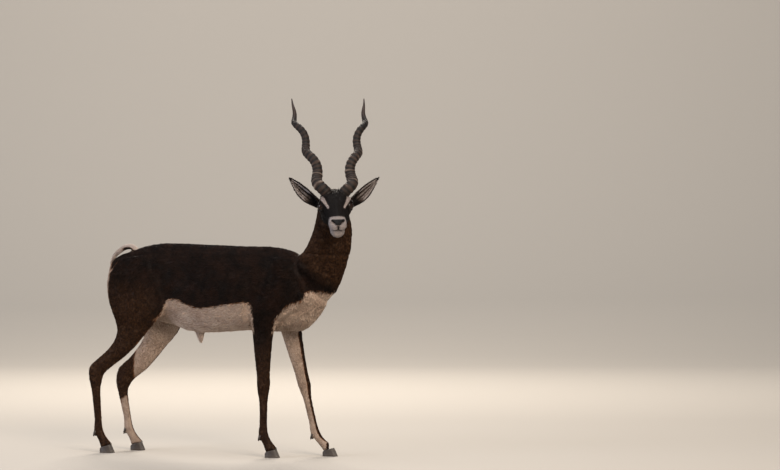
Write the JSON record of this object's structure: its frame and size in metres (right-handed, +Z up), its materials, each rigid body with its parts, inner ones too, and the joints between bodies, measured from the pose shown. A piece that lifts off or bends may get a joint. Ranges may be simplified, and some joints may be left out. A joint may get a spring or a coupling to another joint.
{
  "type": "blackbuck figure",
  "caption": "Life-size still figure of an adult male blackbuck for display, standing with its head turned to its right, with ringed spiral horns, spread ears and a raised tail.",
  "frame": {"origin": "on the floor, under the middle of the whole figure's bounds", "axes": "+X towards the head end of the trunk, +Y to the animal's left, +Z up"},
  "size_m": [1.0973, 0.433, 1.296],
  "materials": {
    "coat_dark": "short, dense, nearly black brown coat",
    "coat_neck": "short brown coat with paler flecks",
    "coat_leg": "short coat, brown outside and white inside",
    "coat_pale": "longer white hair",
    "coat_ear": "very short grey-brown coat, white hair inside",
    "horn": "ringed horn, matt in the grooves and worn on the ridges",
    "hoof": "dark satin horn",
    "eye": "wet, very dark brown"
  },
  "bodies": {
    "root": {"head": "coat_dark", "neck": "coat_neck", "torso": "coat_dark", "tail": "coat_pale", "foreleg_right": "coat_leg", "foreleg_right_lower": "coat_leg", "hoof_foreleg_right_inner": "hoof", "hoof_foreleg_right_outer": "hoof", "foreleg_left": "coat_leg", "foreleg_left_lower": "coat_leg", "hoof_foreleg_left_inner": "hoof", "hoof_foreleg_left_outer": "hoof", "hind_leg_right": "coat_leg", "hind_leg_right_lower": "coat_leg", "hoof_hind_leg_right_inner": "hoof", "hoof_hind_leg_right_outer": "hoof", "hind_leg_left": "coat_leg", "hind_leg_left_lower": "coat_leg", "hoof_hind_leg_left_inner": "hoof", "hoof_hind_leg_left_outer": "hoof", "eye_right": "eye", "ear_right": "coat_ear", "horn_right": "horn", "eye_left": "eye", "ear_left": "coat_ear", "horn_left": "horn"}
  },
  "joints": []
}
